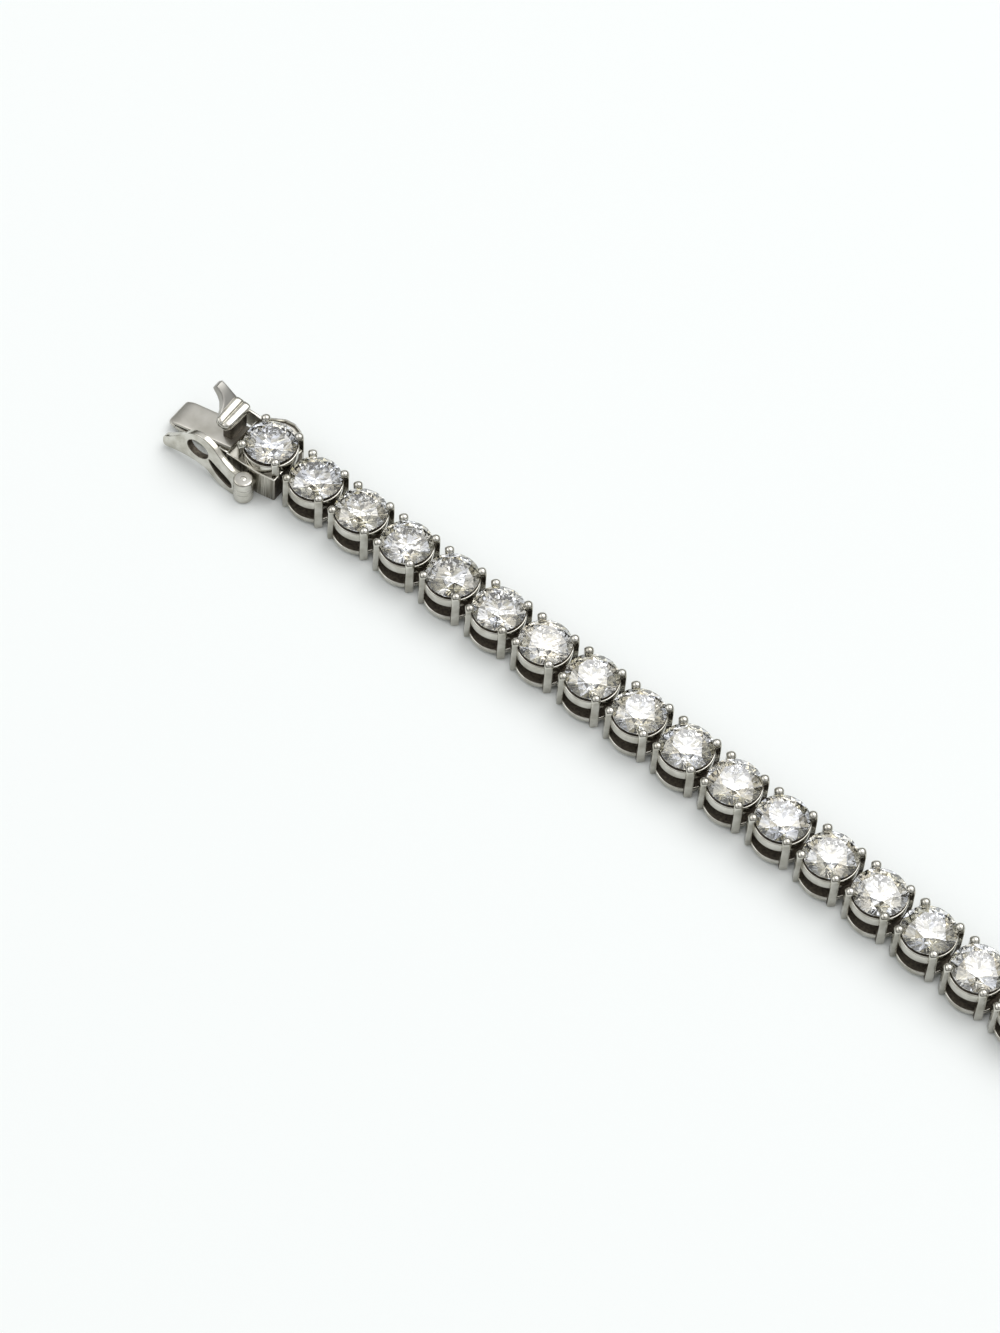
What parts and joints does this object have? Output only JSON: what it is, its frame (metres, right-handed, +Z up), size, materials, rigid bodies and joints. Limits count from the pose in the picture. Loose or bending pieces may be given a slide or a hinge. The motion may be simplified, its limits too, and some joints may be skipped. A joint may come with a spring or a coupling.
{
  "type": "tennis bracelet",
  "caption": "Unfastened tennis bracelet lying straight: round stones in four-prong hinged settings, a sprung tongue with thumb press and side safety catch, and the clasp box.",
  "frame": {"origin": "middle of the underside of the lying bracelet", "axes": "+X along the row from the tongue to the clasp box, +Z up out of the stones' tables"},
  "size_m": [0.182, 0.0092, 0.005],
  "materials": {
    "white_gold": "rhodium-plated white gold, soft polish",
    "stone": "clear faceted round brilliant"
  },
  "bodies": {
    "root": {"stone_01": "stone", "stone_02": "stone", "stone_03": "stone", "stone_04": "stone", "stone_05": "stone", "stone_06": "stone", "stone_07": "stone", "stone_08": "stone", "stone_09": "stone", "stone_10": "stone", "stone_11": "stone", "stone_12": "stone", "stone_13": "stone", "stone_14": "stone", "stone_15": "stone", "stone_16": "stone", "stone_17": "stone", "stone_18": "stone", "stone_19": "stone", "stone_20": "stone", "stone_21": "stone", "stone_22": "stone", "stone_23": "stone", "stone_24": "stone", "stone_25": "stone", "stone_26": "stone", "stone_27": "stone", "stone_28": "stone", "stone_29": "stone", "stone_30": "stone", "stone_31": "stone", "stone_32": "stone", "stone_33": "stone", "stone_34": "stone", "stone_35": "stone", "stone_36": "stone", "stone_37": "stone", "stone_38": "stone", "stone_39": "stone", "stone_40": "stone", "settings_run_01": "white_gold", "settings_run_02": "white_gold", "settings_run_03": "white_gold", "settings_run_04": "white_gold", "settings_run_05": "white_gold", "settings_run_06": "white_gold", "settings_run_07": "white_gold", "settings_run_08": "white_gold", "settings_run_09": "white_gold", "settings_run_10": "white_gold", "settings_run_11": "white_gold", "settings_run_12": "white_gold", "settings_run_13": "white_gold", "tongue_link": "white_gold", "hinge_pin": "white_gold", "clasp_box": "white_gold"},
    "press": {"thumb_press": "white_gold"},
    "catch": {"safety_catch": "white_gold"}
  },
  "joints": [
    {"name": "press_flex", "type": "hinge", "parent": "root", "child": "press", "pos_m": [-0.09053, -0.00194, 0.00068], "axis": [-0.1686, 0.9857, 0], "range_deg": [0, 7], "stiffness_Nm_per_rad": 0.01},
    {"name": "safety_hinge", "type": "hinge", "parent": "root", "child": "catch", "pos_m": [-0.08219, -0.00364, 0.0011], "axis": [0, 0, 1], "range_deg": [0, 110]}
  ]
}
